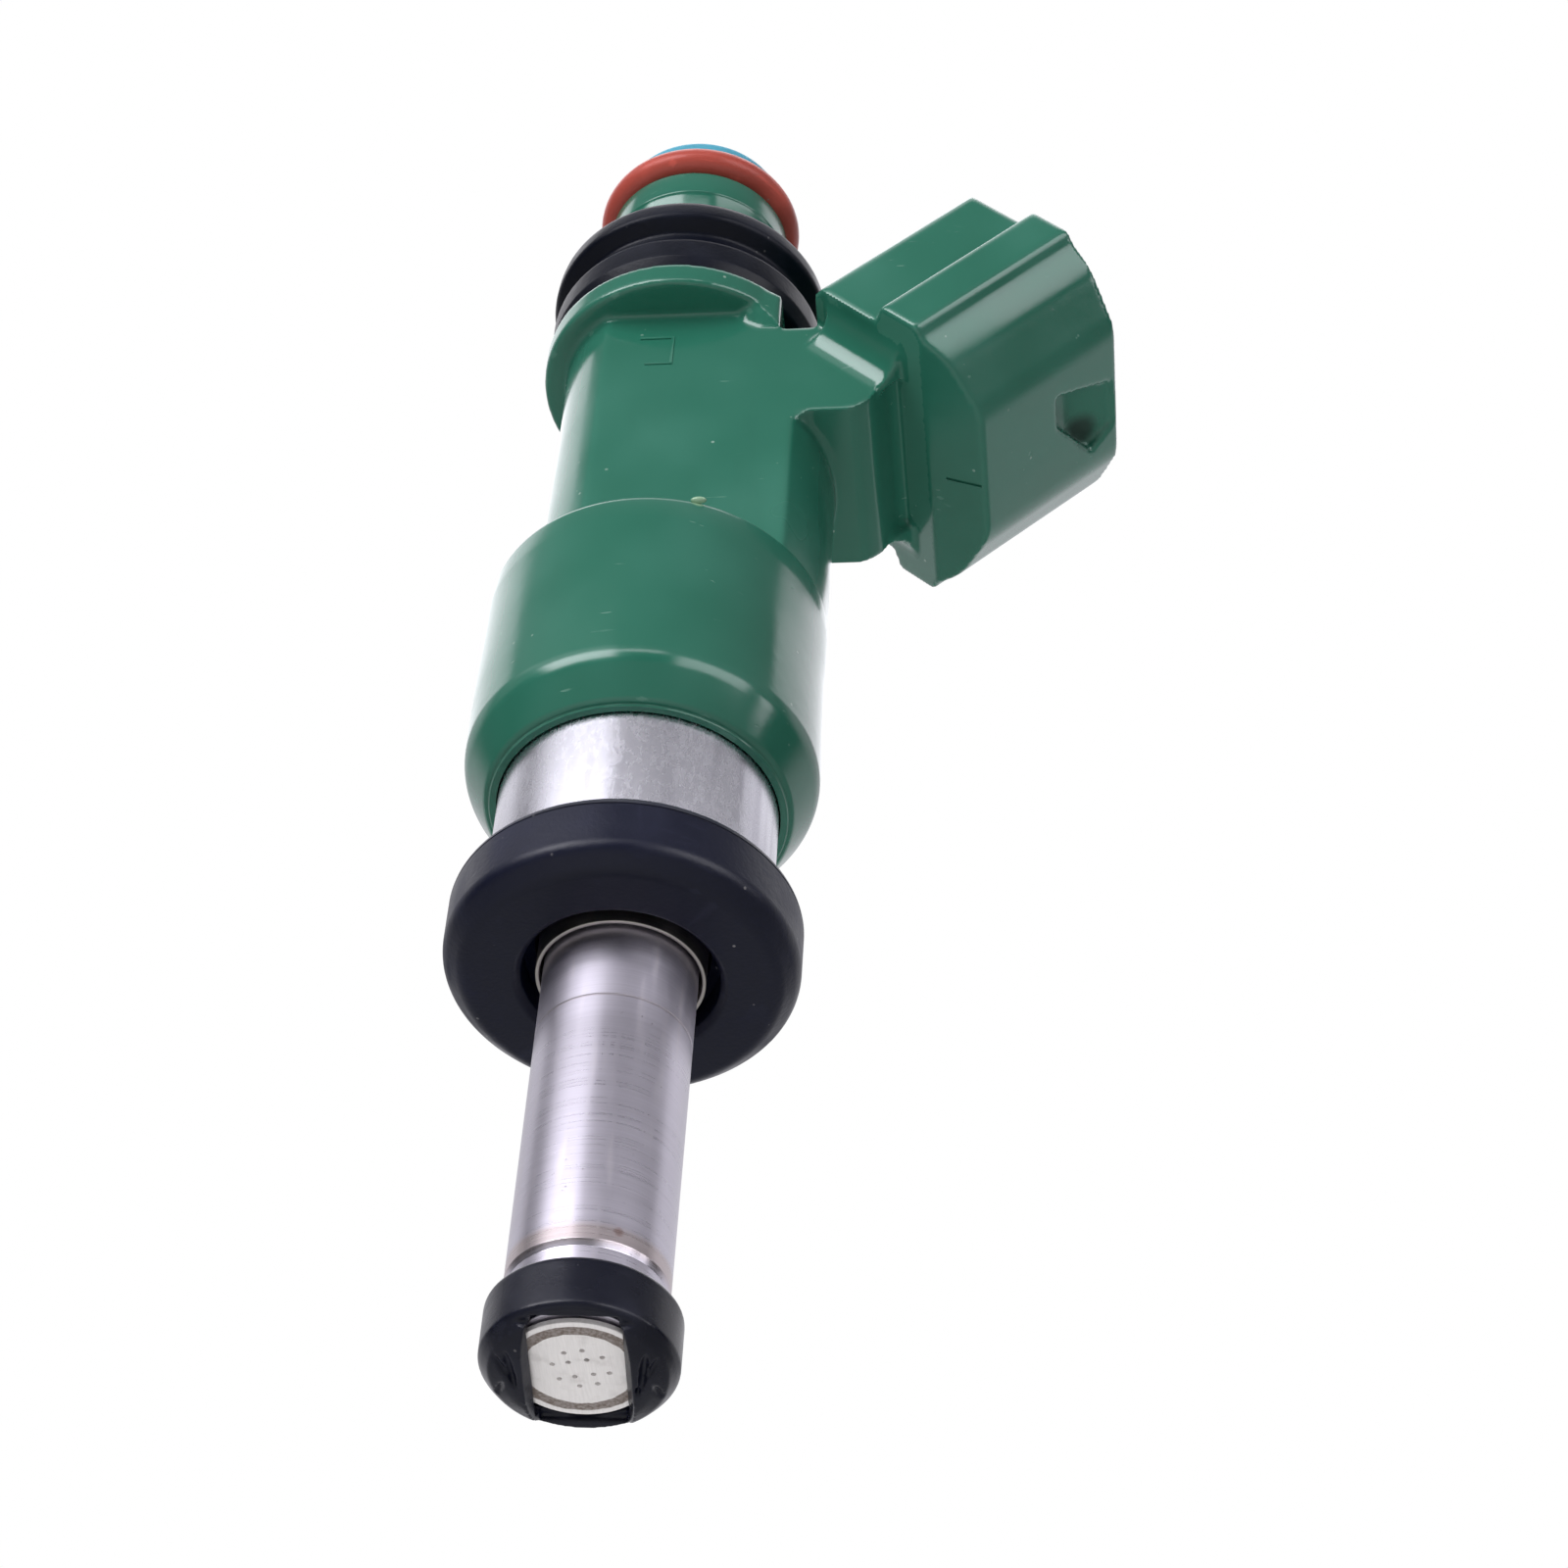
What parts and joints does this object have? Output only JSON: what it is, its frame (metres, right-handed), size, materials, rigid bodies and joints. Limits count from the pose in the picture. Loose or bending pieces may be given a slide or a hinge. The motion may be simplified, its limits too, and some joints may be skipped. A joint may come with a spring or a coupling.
{
  "type": "fuel injector",
  "caption": "Top-feed petrol fuel injector: steel nozzle with multi-hole orifice plate, coil in a plastic housing, angled electrical connector, rubber cushion, grommet and O-ring.",
  "frame": {"origin": "centre of the orifice plate's outer face, on the injector's axis", "axes": "+Z along the injector's axis from the nozzle to the fuel inlet; +X towards the electrical connector, which is tilted 45 degrees up"},
  "size_m": [0.0335, 0.0186, 0.0873],
  "materials": {
    "green_plastic": "semi-gloss moulded green plastic",
    "black_plastic": "satin black plastic",
    "cushion_rubber": "satin black rubber",
    "grommet_rubber": "satin black rubber",
    "red_rubber": "soft sheen red-orange rubber",
    "cyan_plastic": "light blue plastic",
    "gauze": "white nylon gauze",
    "stainless": "satin stainless steel, turned",
    "shell_steel": "satin plated steel with fine scratches",
    "bright_steel": "bright fine steel",
    "soft_iron": "machined magnetic steel",
    "spring_steel": "drawn spring wire",
    "brass": "drawn brass",
    "copper": "enamelled copper wire",
    "tinned": "tin-plated contact blade",
    "natural_plastic": "natural glass-filled nylon"
  },
  "bodies": {
    "injector_body": {"housing": "green_plastic", "nozzle_tube": "stainless", "orifice_plate": "bright_steel", "valve_seat": "bright_steel", "nozzle_cap": "black_plastic", "return_spring": "spring_steel", "magnet_shell": "shell_steel", "lower_pole": "soft_iron", "upper_pole_washer": "soft_iron", "nonmagnetic_ring": "stainless", "fixed_core": "soft_iron", "adjusting_sleeve": "brass", "coil_bobbin": "natural_plastic", "coil_winding": "copper", "terminal_1": "tinned", "terminal_2": "tinned", "lower_cushion": "cushion_rubber", "cushion_collar": "bright_steel", "upper_grommet": "grommet_rubber", "upper_o_ring": "red_rubber", "inlet_tube": "stainless", "filter_frame": "cyan_plastic", "filter_gauze": "gauze", "filter_foot": "cyan_plastic"},
    "needle": {"valve_ball": "bright_steel", "needle_tube": "stainless", "armature": "soft_iron"}
  },
  "joints": [
    {"name": "needle_lift", "type": "slide", "parent": "injector_body", "child": "needle", "axis": [0, 0, 1], "range_m": [0, 0.00008], "stiffness_N_per_m": 300, "springref_m": -0.0001, "deforming": ["return_spring"]}
  ]
}
